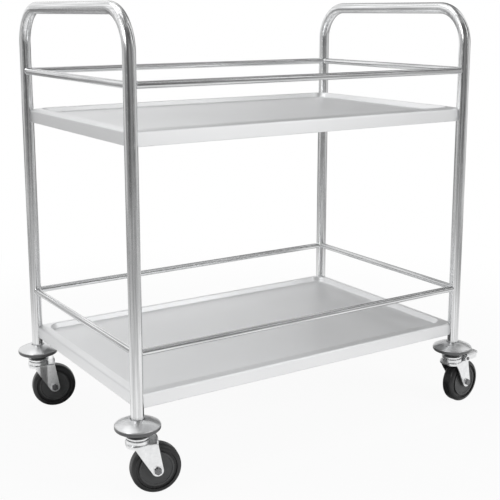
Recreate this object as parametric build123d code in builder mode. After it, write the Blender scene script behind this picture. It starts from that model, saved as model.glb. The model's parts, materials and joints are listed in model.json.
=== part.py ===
from build123d import *
import os
from math import asin, atan2, cos, copysign, hypot, radians, sin, tan

# Serving trolley, in millimetres. X runs along the shelves, the front is -Y and +Z is up.
# The origin is on the floor, in the middle of the four posts.

# End frames: one bent tube each, two posts and the handle between them
overall_length = 850.0
overall_depth = 540.0
tube_diameter = 25.4
tube_wall = 1.5
handle_above_rail = 136.8
handle_bend_radius = 80.0

# Shelves: pressed pans with a rim, an apron and a flange turned in under the apron
sheet_thickness = 1.2
shelf_above_bumper = 17.0
shelf_spacing = 503.0
apron_height = 31.0
apron_flange = 12.0
rim_width = 17.0
rim_outer_radius = 1.6
rim_inner_radius = 2.5
pan_depth = 11.5
pan_corner_radius = 32.0
pan_wall_slope = 28.0
pan_floor_cove = 5.0

# Guard rails
rail_diameter = 14.0
rail_wall = 1.2
rail_above_rim = 81.5

# Screws from inside the aprons into the posts
screw_diameter = 6.0
screw_length = 14.0
screw_head_diameter = 10.0
screw_head_height = 3.5

# Wheels
wheel_diameter = 100.0
tyre_width = 30.0
tyre_thickness = 15.2
tyre_shoulder = 9.0
tyre_groove_width = 5.5
tyre_groove_depth = 4.5
hub_disc_width = 28.0
hub_disc_dish = 1.2
hub_disc_ring = 4.0
hub_boss_diameter = 24.0
hub_boss_width = 34.0

# Axles
axle_bolt_diameter = 8.0
axle_head_width = 13.0
axle_head_height = 5.3
axle_nut_height = 6.5
axle_bolt_tail = 2.0
axle_sleeve_diameter = 12.0
axle_running_clearance = 0.08

# Forks
trail = 33.0
fork_sheet = 2.5
fork_side_gap = 2.0
crown_wheel_gap = 3.5
crown_thickness = 3.0
crown_skirt = 3.5
crown_front = 23.5
crown_rear = 35.0
crown_front_corner = 19.0
crown_bend_radius = 2.0
leg_front = 13.0
leg_end_radius = 11.5
leg_crease = 16.0
leg_pressing_depth = 1.2
leg_pressing_margin = 6.0
leg_pressing_corner = 2.0
rear_flange_height = 15.5
rear_flange_corner = 9.0

# Swivel bearings: a ring of balls between the fork's cup and the swivel plate
ball_diameter = 6.4
ball_count = 12
ball_pitch_diameter = 32.0
ball_clearance = 0.15
race_groove_depth = 1.0
race_land_height = 2.0
race_drop = 2.8
cup_ball_gap = 1.1
cup_wall = 2.7
cup_plate_gap = 3.0
swivel_plate_diameter = 47.0
swivel_plate_thickness = 3.5

# Stems: king pins, screwed into sockets in the feet of the tubes
stem_diameter = 12.0
stem_head_width = 16.0
stem_head_height = 4.5
stem_head_gap = 0.4
stem_running_clearance = 0.08
stem_grip = 30.0
socket_length = 36.0

# Bumpers
bumper_diameter = 90.0
bumper_height = 33.5
bumper_edge_drop = 11.5
bumper_edge_thickness = 8.0
bumper_edge_radius = 2.5
bumper_dome = 1.5
bumper_collar = 1.5
bumper_neck_diameter = 35.0
bumper_neck_height = 3.0
bumper_tube_seat = 15.0
bumper_fit_clearance = 0.1

# Brakes, on the casters of the right end
brake_travel = 16.0
brake_shoe_gap = 0.4
pivot_trail = 30.0
pivot_diameter = 5.0
pivot_crown_gap = 0.5
pivot_ear_radius = 5.0
pivot_running_clearance = 0.05
pivot_head_diameter = 8.0
pivot_head_height = 1.5
pivot_head_gap = 0.3
pedal_sheet = 2.0
pedal_side_gap = 0.5
pedal_above_pivot = 10.0
pedal_front = 27.0
pedal_reach = 74.0
pedal_corner = 12.0
pedal_skirt = 14.0
pedal_boss_radius = 8.0
shoe_trail = 48.0
shoe_length = 8.0
shoe_width = 20.0

# The way each caster trails, in degrees from +X about +Z, as the trolley stands
caster_headings = {"front_left": -14.0, "back_left": -15.0, "front_right": 7.0, "back_right": 8.0}
braked_casters = ("front_right", "back_right")

# Caster heights, from the floor up
axle_height = wheel_diameter / 2
crown_bottom = wheel_diameter + crown_wheel_gap
crown_top = crown_bottom + crown_thickness
race_floor = crown_top + race_land_height
groove_radius = ball_diameter / 2 + ball_clearance
groove_height = race_floor - race_groove_depth + groove_radius
ball_height = groove_height - ball_clearance
race_ceiling = groove_height + groove_radius - race_groove_depth
swivel_plate_bottom = race_ceiling + race_drop
swivel_plate_top = swivel_plate_bottom + swivel_plate_thickness
cup_top = swivel_plate_bottom - cup_plate_gap
bumper_top = swivel_plate_top + bumper_height
tube_foot = bumper_top - bumper_tube_seat

# Frame heights
lower_rim = bumper_top + shelf_above_bumper + apron_height
upper_rim = lower_rim + shelf_spacing
shelf_rims = {"lower": lower_rim, "upper": upper_rim}
handle_height = upper_rim + rail_above_rim + handle_above_rail

# Posts
tube_radius = tube_diameter / 2
tube_bore = tube_radius - tube_wall
post_x = (overall_length - tube_diameter) / 2
post_y = (overall_depth - tube_diameter) / 2
posts = {
    "front_left": (-post_x, -post_y),
    "back_left": (-post_x, post_y),
    "front_right": (post_x, -post_y),
    "back_right": (post_x, post_y),
}

# The posts that the guard rail along each edge of a shelf joins
rail_ends = {
    "front": ("front_left", "front_right"),
    "back": ("back_left", "back_right"),
    "left": ("front_left", "back_left"),
    "right": ("front_right", "back_right"),
}

# Caster widths and bearings
wheel_radius = wheel_diameter / 2
hub_radius = wheel_radius - tyre_thickness
leg_inner = hub_boss_width / 2 + fork_side_gap
leg_outer = leg_inner + fork_sheet
cup_bore = ball_pitch_diameter / 2 + ball_diameter / 2 + cup_ball_gap
cup_radius = cup_bore + cup_wall
stem_radius = stem_diameter / 2
pivot_height = crown_top + pivot_crown_gap + pivot_diameter / 2
pedal_inner = leg_outer + pedal_side_gap
pedal_outer = pedal_inner + pedal_sheet
pedal_top = pivot_height + pedal_above_pivot
axle_axis = Axis((trail, 0, axle_height), (0, 1, 0))
axle_plane = Plane((trail, 0, axle_height), x_dir=(0, 1, 0), z_dir=(1, 0, 0))

# Ways to set a cylinder: on its foot, hung from its top, or laid across a caster
STANDING = (Align.CENTER, Align.CENTER, Align.MIN)
HANGING = (Align.CENTER, Align.CENTER, Align.MAX)
ACROSS = (90, 0, 0)

os.makedirs("parts", exist_ok=True)


def save(piece, name):
    """Labels a finished piece and writes it under its name."""
    piece.part.label = name
    export_step(piece.part, f"parts/{name}.step")


def screw_places(rims, side=0):
    """Where the shelf screws cross the post axes, each pointing into its shelf; side picks one end."""
    places = []
    for x, y in posts.values():
        for rim in rims:
            inward = (-copysign(1, x), -copysign(1, y), 0)
            if x * side >= 0:
                places.append(Plane((x, y, rim - apron_height / 2), z_dir=inward).location)
    return places


def end_frame(side):
    """Inverted U of one bent tube at the left (-1) or right (1) end, drilled for the shelf screws."""
    x = side * post_x
    with BuildPart() as frame:
        with BuildLine():
            FilletPolyline(
                (x, -post_y, tube_foot),
                (x, -post_y, handle_height),
                (x, post_y, handle_height),
                (x, post_y, tube_foot),
                radius=handle_bend_radius,
            )
        with BuildSketch(Plane((x, -post_y, tube_foot))):
            Circle(tube_radius)
            Circle(tube_bore, mode=Mode.SUBTRACT)
        sweep()
        with Locations(*screw_places(shelf_rims.values(), side)):
            Cylinder(screw_diameter / 2, tube_diameter, align=STANDING, mode=Mode.SUBTRACT)
    return frame


def footprint(inset):
    """Outline of a shelf through the post axes, notched round the tubes and drawn in by inset."""
    Rectangle(2 * (post_x - inset), 2 * (post_y - inset))
    with Locations(*posts.values()):
        Circle(tube_radius + inset, mode=Mode.SUBTRACT)


def pan_form(rim, growth):
    """The pan's hollow below the rim; growth moves its walls and floor out to the sheet's underside."""
    inset = rim_width - growth / cos(radians(pan_wall_slope))
    with BuildPart() as form:
        with BuildSketch(Plane.XY.offset(rim)):
            RectangleRounded(2 * (post_x - inset), 2 * (post_y - inset), pan_corner_radius + growth)
        extrude(amount=-(pan_depth + growth), taper=pan_wall_slope)
        fillet(form.faces().sort_by(Axis.Z)[0].edges(), pan_floor_cove + growth)
    return form


def shelf(rim):
    """Pressed pan with its rim at the given height, an apron all round and a flange under it."""
    apron_foot = rim - apron_height
    hollow = pan_form(rim, 0)
    underside = pan_form(rim, sheet_thickness)
    with BuildPart() as cavity:
        with BuildSketch(Plane.XY.offset(apron_foot + sheet_thickness)):
            footprint(sheet_thickness)
        extrude(amount=apron_height - 2 * sheet_thickness)
        add(underside.part, mode=Mode.SUBTRACT)
    with BuildPart() as pan:
        with BuildSketch(Plane.XY.offset(apron_foot)):
            footprint(0)
        extrude(amount=apron_height)
        fillet(pan.edges().filter_by(GeomType.LINE).group_by(Axis.Z)[-1], rim_outer_radius)
        add(hollow.part, mode=Mode.SUBTRACT)
        fillet(pan.faces().sort_by(Axis.Z)[-1].inner_wires()[0].edges(), rim_inner_radius)
        add(cavity.part, mode=Mode.SUBTRACT)
        with BuildSketch(Plane.XY.offset(apron_foot)):
            footprint(apron_flange)
        extrude(amount=sheet_thickness, mode=Mode.SUBTRACT)
        with Locations(*screw_places([rim])):
            Cylinder(
                screw_diameter / 2,
                tube_radius + 2 * sheet_thickness,
                align=STANDING,
                mode=Mode.SUBTRACT,
            )
    return pan


def guard_rail(first, last, height):
    """Thin tube between two posts, coped to their round sides."""
    start = Vector(*posts[first], height)
    end = Vector(*posts[last], height)
    with BuildPart() as rail:
        with BuildSketch(Plane(start, z_dir=end - start)):
            Circle(rail_diameter / 2)
            Circle(rail_diameter / 2 - rail_wall, mode=Mode.SUBTRACT)
        extrude(amount=(end - start).length)
        with Locations(start, end):
            Cylinder(tube_radius, 2 * rail_diameter, mode=Mode.SUBTRACT)
    return rail


def fork_plan(inset):
    """Plan of a fork's outside, or of its inside at an inset: round at the front and open at the rear."""
    with Locations((inset - crown_front, 0)):
        outline = Rectangle(2 * wheel_diameter, 2 * (leg_outer - inset), align=(Align.MIN, Align.CENTER))
    fillet(outline.vertices().group_by(Axis.X)[0], crown_front_corner - inset)


def fork_side():
    """Side view of a fork: the crown with its skirt, and the leg down to a round end about the axle."""
    middle = (crown_bottom + crown_top) / 2
    with Locations(((crown_rear - leg_front) / 2, middle)):
        Rectangle(crown_rear + leg_front, crown_thickness)
    with Locations((trail, axle_height)):
        Circle(leg_end_radius)
    make_hull()
    with Locations(((crown_rear - crown_front) / 2, crown_top)):
        Rectangle(
            crown_rear + crown_front,
            crown_thickness + crown_skirt,
            align=(Align.CENTER, Align.MAX),
        )


def leg_pressing():
    """Triangle pressed into the front half of a leg, even with the crown and the slanting edge."""
    reach = hypot(trail + leg_front, crown_bottom - axle_height)
    slant = atan2(crown_bottom - axle_height, trail + leg_front) + asin(leg_end_radius / reach)
    top = crown_bottom - leg_pressing_margin / 2
    front = leg_pressing_margin / sin(slant) - leg_front
    foot = top - (leg_crease - front) * tan(slant)
    triangle = Polygon((leg_crease, top), (front, top), (leg_crease, foot), align=None)
    fillet(triangle.vertices(), leg_pressing_corner)


def pivot_ear():
    """Side view of an ear that stands up from the crown round the pedal's pivot."""
    with Locations((pivot_trail, pivot_height)):
        Circle(pivot_ear_radius)
    with Locations((pivot_trail, (crown_bottom + crown_top) / 2)):
        Rectangle(2 * pivot_ear_radius, crown_thickness)
    make_hull()


def fork(braked):
    """Pressed fork round the wheel, trailing along +X, with the lower ball race in its crown.
    A braked one has ears for the pedal's pivot, a plain one a flange turned up at the rear."""
    with BuildPart() as piece:
        with BuildSketch():
            fork_plan(0)
        extrude(amount=crown_top)
        with BuildSketch(Plane.XZ):
            fork_side()
        extrude(amount=leg_outer, both=True, mode=Mode.INTERSECT)
        fillet(piece.faces().sort_by(Axis.Z)[-1].edges().sort_by(Axis.X)[:-1], crown_bend_radius)
        with BuildSketch():
            fork_plan(fork_sheet)
        extrude(amount=crown_bottom, mode=Mode.SUBTRACT)
        for side in (-1, 1):
            with BuildSketch(Plane.XZ.offset(side * leg_outer)):
                leg_pressing()
            extrude(amount=-side * leg_pressing_depth, mode=Mode.SUBTRACT)
            if braked:
                with BuildSketch(Plane.XZ.offset(side * leg_inner)):
                    pivot_ear()
                extrude(amount=side * fork_sheet)
        if not braked:
            with BuildSketch(Plane.YZ.offset(crown_rear - fork_sheet)) as flange:
                with Locations((0, crown_bottom)):
                    Rectangle(2 * leg_outer, rear_flange_height, align=(Align.CENTER, Align.MIN))
                fillet(flange.vertices().group_by(Axis.Y)[-1], rear_flange_corner)
            extrude(amount=fork_sheet)
        with BuildSketch(Plane.XY.offset(crown_bottom)):
            Circle(cup_radius)
        extrude(amount=race_floor - crown_bottom)
        with BuildSketch(Plane.XY.offset(race_floor)):
            Circle(cup_radius)
            Circle(cup_bore, mode=Mode.SUBTRACT)
        extrude(amount=cup_top - race_floor)
        with Locations((0, 0, groove_height)):
            Torus(ball_pitch_diameter / 2, groove_radius, mode=Mode.SUBTRACT)
        Cylinder(stem_radius + stem_running_clearance, 2 * cup_top, mode=Mode.SUBTRACT)
        with Locations(Location((trail, 0, axle_height), ACROSS)):
            Cylinder(axle_bolt_diameter / 2, 4 * leg_outer, mode=Mode.SUBTRACT)
        if braked:
            with Locations(Location((pivot_trail, 0, pivot_height), ACROSS)):
                Cylinder(pivot_diameter / 2, 4 * leg_outer, mode=Mode.SUBTRACT)
    return piece


# Screws from inside each shelf corner, their heads hollowed to sit on the notch
with BuildPart() as shelf_screws:
    with Locations(*screw_places(shelf_rims.values())):
        Cylinder(
            screw_head_diameter / 2,
            tube_radius + sheet_thickness + screw_head_height,
            align=STANDING,
        )
    with Locations(*posts.values()):
        Cylinder(tube_radius + sheet_thickness, 2 * handle_height, mode=Mode.SUBTRACT)
    with Locations(*screw_places(shelf_rims.values())):
        with Locations((0, 0, tube_radius + sheet_thickness + screw_head_height / 2)):
            Cylinder(screw_diameter / 2, screw_length, align=HANGING)

# Sockets plugged into the feet of the tubes and tapped for the stems
with BuildPart() as stem_sockets:
    with Locations(*[(x, y, tube_foot) for x, y in posts.values()]):
        Cylinder(tube_bore, socket_length, align=STANDING)
        Cylinder(stem_radius, stem_grip, align=STANDING, mode=Mode.SUBTRACT)

# Bumper disc: a shallow dome round the tube, an edge and a cone down to the neck
with BuildPart() as bumper:
    edge_top = bumper_top - bumper_edge_drop
    edge_bottom = edge_top - bumper_edge_thickness
    bumper_radius = bumper_diameter / 2
    neck_radius = bumper_neck_diameter / 2
    tube_seat_radius = tube_radius + bumper_fit_clearance
    with BuildSketch(Plane.XZ) as section:
        with BuildLine():
            inside = Polyline(
                (tube_seat_radius + bumper_collar, bumper_top),
                (tube_seat_radius, bumper_top),
                (tube_seat_radius, tube_foot),
                (stem_radius, tube_foot),
                (stem_radius, swivel_plate_top),
                (neck_radius, swivel_plate_top),
                (neck_radius, swivel_plate_top + bumper_neck_height),
                (bumper_radius, edge_bottom),
                (bumper_radius, edge_top),
            )
            SagittaArc(inside @ 1, inside @ 0, -bumper_dome)
        make_face()
        fillet(section.vertices().group_by(Axis.X)[-1], bumper_edge_radius)
    revolve(axis=Axis.Z)

# Stem: a bolt up through the fork, the swivel plate and the bumper into the socket
with BuildPart() as stem:
    stem_head_top = crown_bottom - stem_head_gap
    with BuildSketch(Plane.XY.offset(stem_head_top)):
        RegularPolygon(stem_head_width / 2, 6, major_radius=False)
    extrude(amount=-stem_head_height)
    with BuildSketch(Plane.XY.offset(stem_head_top)):
        Circle(stem_radius)
    extrude(amount=tube_foot + stem_grip - stem_head_top)

# Swivel plate with the upper ball race under it
with BuildPart() as swivel_plate:
    with BuildSketch(Plane.XY.offset(swivel_plate_bottom)):
        Circle(swivel_plate_diameter / 2)
    extrude(amount=swivel_plate_thickness)
    with BuildSketch(Plane.XY.offset(race_ceiling)):
        Circle(cup_bore - cup_ball_gap / 2)
    extrude(amount=race_drop)
    with Locations((0, 0, groove_height)):
        Torus(ball_pitch_diameter / 2, groove_radius, mode=Mode.SUBTRACT)
    Cylinder(stem_radius, 2 * swivel_plate_top, mode=Mode.SUBTRACT)

# Balls, resting in the lower race
with BuildPart() as swivel_balls:
    with Locations((0, 0, ball_height)):
        with PolarLocations(ball_pitch_diameter / 2, ball_count):
            Sphere(ball_diameter / 2)

# Axle: a bolt with its nut, and the sleeve that they clamp between the legs
with BuildPart() as axle_bolt:
    with BuildSketch(Plane.XZ.offset(leg_outer)):
        with Locations((trail, axle_height)):
            RegularPolygon(axle_head_width / 2, 6, major_radius=False)
    extrude(amount=axle_head_height)
    with BuildSketch(Plane.XZ.offset(leg_outer)):
        with Locations((trail, axle_height)):
            Circle(axle_bolt_diameter / 2)
    extrude(amount=-(2 * leg_outer + axle_nut_height + axle_bolt_tail))

with BuildPart() as axle_nut:
    with BuildSketch(Plane.XZ.offset(-leg_outer)):
        with Locations((trail, axle_height)):
            RegularPolygon(axle_head_width / 2, 6, major_radius=False)
            Circle(axle_bolt_diameter / 2, mode=Mode.SUBTRACT)
    extrude(amount=-axle_nut_height)

with BuildPart() as axle_sleeve:
    with BuildSketch(Plane.XZ.offset(leg_inner)):
        with Locations((trail, axle_height)):
            Circle(axle_sleeve_diameter / 2)
            Circle(axle_bolt_diameter / 2, mode=Mode.SUBTRACT)
    extrude(amount=-2 * leg_inner)

# Wheel centre: boss and dished disc with a raised ring
with BuildPart() as wheel_hub:
    bore_radius = axle_sleeve_diameter / 2 + axle_running_clearance
    boss_radius = hub_boss_diameter / 2
    near_side = [
        (hub_boss_width / 2, bore_radius),
        (hub_boss_width / 2, boss_radius),
        (hub_disc_width / 2 - hub_disc_dish, boss_radius),
        (hub_disc_width / 2 - hub_disc_dish, hub_radius - hub_disc_ring),
        (hub_disc_width / 2, hub_radius - hub_disc_ring),
        (hub_disc_width / 2, hub_radius),
    ]
    far_side = [(-across, out) for across, out in reversed(near_side)]
    with BuildSketch(axle_plane):
        with BuildLine():
            Polyline(*near_side, *far_side, close=True)
        make_face()
    revolve(axis=axle_axis)

# Tyre: round shoulders, and a groove on each side round the wheel centre
with BuildPart() as tyre:
    with BuildSketch(axle_plane) as section:
        with Locations((0, hub_radius)):
            Rectangle(tyre_width, tyre_thickness, align=(Align.CENTER, Align.MIN))
        fillet(section.vertices().group_by(Axis.Y)[-1], tyre_shoulder)
        for side in (-1, 1):
            with Locations((side * tyre_width / 2, hub_radius)):
                Rectangle(
                    2 * tyre_groove_depth,
                    tyre_groove_width,
                    align=(Align.CENTER, Align.MIN),
                    mode=Mode.SUBTRACT,
                )
    revolve(axis=axle_axis)

# Brake pedal: a plate over the wheel with a skirt each side, hung on the pivot
with BuildPart() as brake_pedal:
    with BuildSketch(Plane.XY.offset(pedal_top - pedal_sheet)) as plate:
        with Locations((pedal_front, 0)):
            Rectangle(pedal_reach - pedal_front, 2 * pedal_outer, align=(Align.MIN, Align.CENTER))
        fillet(plate.vertices().group_by(Axis.X)[-1], pedal_corner)
    extrude(amount=pedal_sheet)
    for side in (-1, 1):
        with BuildSketch(Plane.XZ.offset(side * pedal_inner)):
            with Locations((pivot_trail, pivot_height)):
                Circle(pedal_boss_radius)
            with Locations((pedal_front, pedal_top)):
                Rectangle(
                    pedal_reach - pedal_corner - pedal_front,
                    pedal_skirt,
                    align=(Align.MIN, Align.MAX),
                )
            make_hull()
        extrude(amount=side * pedal_sheet)
    with Locations(Location((pivot_trail, 0, pivot_height), ACROSS)):
        Cylinder(pivot_diameter / 2 + pivot_running_clearance, 4 * pedal_outer, mode=Mode.SUBTRACT)

with BuildPart() as brake_pin:
    pin_half = pedal_outer + pivot_head_gap
    with Locations(Location((pivot_trail, 0, pivot_height), ACROSS)):
        Cylinder(pivot_diameter / 2, 2 * pin_half)
        with Locations((0, 0, pin_half), (0, 0, -pin_half - pivot_head_height)):
            Cylinder(pivot_head_diameter / 2, pivot_head_height, align=STANDING)

# Brake shoe under the pedal, hollowed to lie along the tyre when the pedal is down
with BuildPart() as brake_shoe:
    ahead = trail - pivot_trail
    below = pivot_height - axle_height
    turn = radians(brake_travel)
    tyre_when_down = (
        pivot_trail + ahead * cos(turn) + below * sin(turn),
        0,
        pivot_height + ahead * sin(turn) - below * cos(turn),
    )
    with Locations((shoe_trail, 0, pedal_top - pedal_sheet)):
        Box(shoe_length, shoe_width, wheel_radius, align=HANGING)
    with Locations(Location(tyre_when_down, ACROSS)):
        Cylinder(wheel_radius + brake_shoe_gap, 2 * shoe_width, mode=Mode.SUBTRACT)

# Frame pieces
for end, side in {"left": -1, "right": 1}.items():
    save(end_frame(side), f"{end}_end_frame")
for level, rim in shelf_rims.items():
    save(shelf(rim), f"{level}_shelf")
    for edge, ends in rail_ends.items():
        save(guard_rail(*ends, rim + rail_above_rim), f"{level}_{edge}_rail")
save(shelf_screws, "shelf_screws")
save(stem_sockets, "stem_sockets")

# Caster pieces, set under each post and turned the way the caster trails
plain_fork = fork(braked=False)
braked_fork = fork(braked=True)
shared_pieces = {
    "bumper": bumper,
    "stem": stem,
    "swivel_plate": swivel_plate,
    "swivel_balls": swivel_balls,
    "axle_bolt": axle_bolt,
    "axle_nut": axle_nut,
    "axle_sleeve": axle_sleeve,
    "wheel_hub": wheel_hub,
    "tyre": tyre,
}
brake_pieces = {"brake_pedal": brake_pedal, "brake_pin": brake_pin, "brake_shoe": brake_shoe}
for corner, (x, y) in posts.items():
    if corner in braked_casters:
        pieces = shared_pieces | {"fork": braked_fork} | brake_pieces
    else:
        pieces = shared_pieces | {"fork": plain_fork}
    for name, piece in pieces.items():
        with BuildPart() as placed:
            with Locations(Location((x, y, 0), (0, 0, caster_headings[corner]))):
                add(piece.part)
        save(placed, f"{corner}_{name}")
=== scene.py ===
import json
from math import acos, atan2, cos, pi, radians, sin, sqrt, tan

import bmesh
import bpy
from mathutils import Matrix, Vector


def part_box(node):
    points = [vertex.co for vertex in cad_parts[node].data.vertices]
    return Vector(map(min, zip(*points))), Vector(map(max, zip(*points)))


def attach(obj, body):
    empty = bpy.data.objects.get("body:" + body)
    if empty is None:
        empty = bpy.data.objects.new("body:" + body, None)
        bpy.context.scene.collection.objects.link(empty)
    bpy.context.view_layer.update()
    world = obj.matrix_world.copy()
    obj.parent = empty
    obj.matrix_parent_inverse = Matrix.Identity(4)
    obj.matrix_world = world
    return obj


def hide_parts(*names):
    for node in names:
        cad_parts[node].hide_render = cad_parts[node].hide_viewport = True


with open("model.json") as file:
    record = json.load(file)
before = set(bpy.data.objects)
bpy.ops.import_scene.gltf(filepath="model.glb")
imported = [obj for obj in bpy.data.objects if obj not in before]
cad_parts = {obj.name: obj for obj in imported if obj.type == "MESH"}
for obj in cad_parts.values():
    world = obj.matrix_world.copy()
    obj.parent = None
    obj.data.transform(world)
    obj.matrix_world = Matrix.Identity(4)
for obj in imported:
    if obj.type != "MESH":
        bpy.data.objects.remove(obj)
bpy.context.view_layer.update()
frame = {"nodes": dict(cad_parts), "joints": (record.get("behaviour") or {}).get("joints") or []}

# Serving trolley, in metres. X runs along the shelves, the front is -Y and +Z is up.

# Sizes and places that the frame gives
tube_low, tube_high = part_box("left_end_frame")
tube_radius = (tube_high.x - tube_low.x) / 2
post_x = -(tube_low.x + tube_high.x) / 2
post_y = (tube_high.y - tube_low.y) / 2 - tube_radius
tube_foot = tube_low.z
handle_height = tube_high.z - tube_radius
posts = {
    "front_left": Vector((-post_x, -post_y, 0)),
    "front_right": Vector((post_x, -post_y, 0)),
    "back_right": Vector((post_x, post_y, 0)),
    "back_left": Vector((-post_x, post_y, 0)),
}
bumper_low, bumper_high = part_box("front_left_bumper")
bumper_radius = (bumper_high.x - bumper_low.x) / 2
plate_low, plate_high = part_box("front_left_swivel_plate")
hub_low, hub_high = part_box("front_left_wheel_hub")
hub_radius = (hub_high.z - hub_low.z) / 2
joints = {joint["name"]: joint for joint in frame["joints"]}
wheel_radius = Vector(joints["front_left_wheel_spin"]["pos_m"]).z

# Tubes
handle_bend_radius = 0.080
weld_leg = 0.0010
coped_stretch = 0.0020
# Flare of the weld by the gap from the post, both in weld legs
weld_profile = ((0, 1), (0.4, 0.35), (1, 0), (4, 0))

# Shelves
sheet = 0.0012
apron_flange = 0.012
rim_width = 0.017
rim_fall = 0.0022
rim_outer_radius = 0.005
apron_foot_radius = 0.0016
rim_inner_radius = 0.0025
pan_depth = 0.0115
pan_corner_radius = 0.032
pan_wall_slope = radians(28)
pan_floor_cove = 0.005

# Bumpers
bumper_edge_drop = 0.0115
bumper_edge_top = bumper_high.z - bumper_edge_drop
bumper_edge_thickness = 0.008
bumper_edge_radius = 0.0025
# Height over which the bumper's colour turns to the painted shade under the lip
bumper_shade_change = 0.002
bumper_dome = 0.0015
bumper_collar = 0.0015
bumper_collar_depth = 0.003
bumper_clearance = 0.0001
bumper_neck_radius = 0.0175
bumper_neck_height = 0.003
bumper_neck_cove = 0.002

# Casters
tyre_half_width = 0.015
tyre_shoulder = 0.009
tyre_groove_width = 0.0055
tyre_groove_depth = 0.0045
tyre_lip = 0.0012
tyre_cove = 0.0015
hub_bore = 0.00608
hub_boss_radius = 0.012
hub_boss_half = 0.017
hub_disc_half = 0.014
hub_disc_dish = 0.0012
hub_disc_ring = 0.004
hub_edge = 0.0005
fork_sheet = 0.0025
crown_bottom = 0.1035
crown_top = 0.1065
crown_skirt = 0.0035
crown_front = 0.0235
crown_rear = 0.035
crown_front_corner = 0.018
crown_bend = 0.002
cup_bore = 0.0203
cup_radius = 0.023
cup_top = 0.113
cup_edge = 0.0008
leg_outer = 0.0215
leg_front = 0.013
leg_crease = 0.016
leg_crease_radius = 0.002
leg_facet = 0.015
leg_step = 0.004
leg_end_radius = 0.0115
leg_end_rounding = 0.0112
axle_boss_radius = 0.0095
axle_boss_rise = 0.0006
rear_flange_height = 0.0155
rear_flange_corner = 0.009
pivot_ear_radius = 0.005
axle_radius = 0.004
axle_head_across = 0.013
axle_head_height = 0.0053
axle_nut_height = 0.0065
axle_tail = 0.002
hexagon_easing = 0.16
stem_radius = 0.006
plate_edge = 0.0008
plate_bottom = 0.116
upper_race_radius = 0.01975

# Brake pedals
pivot_trail = 0.030
pivot_height = 0.1095
pin_radius = 0.0025
pin_head_radius = 0.004
pin_head_height = 0.0015
pin_head_edge = 0.0008
pin_half = 0.0243
pedal_top = 0.1195
pedal_front = 0.027
pedal_reach = 0.074
pedal_half = 0.024
pedal_corner = 0.012
pedal_sheet = 0.002
pedal_lip = 0.005
pedal_skirt = 0.014
pedal_shoulder = 0.0035
pedal_boss_radius = 0.008
pedal_boss_rise = 0.0002
tread_margin = 0.0026
tread_slope = 0.0024
tread_depth = 0.0012

# Fineness of the round shapes
tube_sides = 64
rail_sides = 40
disc_sides = 48
pin_sides = 32
bend_steps = 28
corner_steps = 12
small_corner_steps = 6
notch_steps = 4
shoulder_steps = 5
rim_edge_steps = 5
floor_cove_steps = 6
dome_steps = 6
edge_steps = 3
crease_steps = 2
turning_steps = 96
wheel_steps = 128
weld_distance = 1e-6
crease_angle = radians(35)

rail_ends = {
    "front": ("front_left", "front_right"),
    "back": ("back_left", "back_right"),
    "left": ("front_left", "back_left"),
    "right": ("front_right", "back_right"),
}
braked_casters = ("front_right", "back_right")


# Finishes

grain_low = 0.3
grain_high = 0.7
upright_lines = (1, 1, 0.015)
lengthwise_lines = (0.015, 1, 1)
crosswise_lines = (1, 0.015, 1)
post_tones = ((0.58, 0.585, 0.59), (0.94, 0.945, 0.95))
# The rails take the posts' polished steel in darker tones: painted shade over their real polish lines
shaded_rail_tones = ((0.50, 0.505, 0.51), (0.90, 0.905, 0.91))
quarter_turn = 0.25


def new_finish(name, colour, metallic, roughness):
    """A finish with its even values set on the shader."""
    finish = bpy.data.materials.new(name)
    finish.use_nodes = True
    shader = finish.node_tree.nodes["Principled BSDF"]
    shader.inputs["Base Color"].default_value = (*colour, 1)
    shader.inputs["Metallic"].default_value = metallic
    shader.inputs["Roughness"].default_value = roughness
    return finish, shader


def grain(finish, scale, stretch=(1, 1, 1), detail=3.0):
    """Noise over the piece's own coordinates, drawn out along an axis by a small stretch."""
    nodes = finish.node_tree.nodes
    links = finish.node_tree.links
    place = nodes.new("ShaderNodeTexCoord")
    mapping = nodes.new("ShaderNodeMapping")
    noise = nodes.new("ShaderNodeTexNoise")
    mapping.inputs["Scale"].default_value = stretch
    noise.inputs["Scale"].default_value = scale
    noise.inputs["Detail"].default_value = detail
    links.new(place.outputs["Object"], mapping.inputs["Vector"])
    links.new(mapping.outputs["Vector"], noise.inputs["Vector"])
    return noise.outputs["Fac"]


def tint(finish, shader, source, dark, light):
    """Colour that runs from dark to light over a grain."""
    ramp = finish.node_tree.nodes.new("ShaderNodeValToRGB")
    ramp.color_ramp.elements[0].position = grain_low
    ramp.color_ramp.elements[0].color = (*dark, 1)
    ramp.color_ramp.elements[1].position = grain_high
    ramp.color_ramp.elements[1].color = (*light, 1)
    finish.node_tree.links.new(source, ramp.inputs["Fac"])
    finish.node_tree.links.new(ramp.outputs["Color"], shader.inputs["Base Color"])


def gloss(finish, shader, source, low, high):
    """Roughness that runs from low to high over a grain."""
    spread = finish.node_tree.nodes.new("ShaderNodeMapRange")
    spread.inputs["From Min"].default_value = grain_low
    spread.inputs["From Max"].default_value = grain_high
    spread.inputs["To Min"].default_value = low
    spread.inputs["To Max"].default_value = high
    finish.node_tree.links.new(source, spread.inputs["Value"])
    finish.node_tree.links.new(spread.outputs["Result"], shader.inputs["Roughness"])


def relief(finish, shader, source, depth, strength):
    """Fine relief over a grain."""
    bump = finish.node_tree.nodes.new("ShaderNodeBump")
    bump.inputs["Distance"].default_value = depth
    bump.inputs["Strength"].default_value = strength
    finish.node_tree.links.new(source, bump.inputs["Height"])
    finish.node_tree.links.new(bump.outputs["Normal"], shader.inputs["Normal"])


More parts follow.
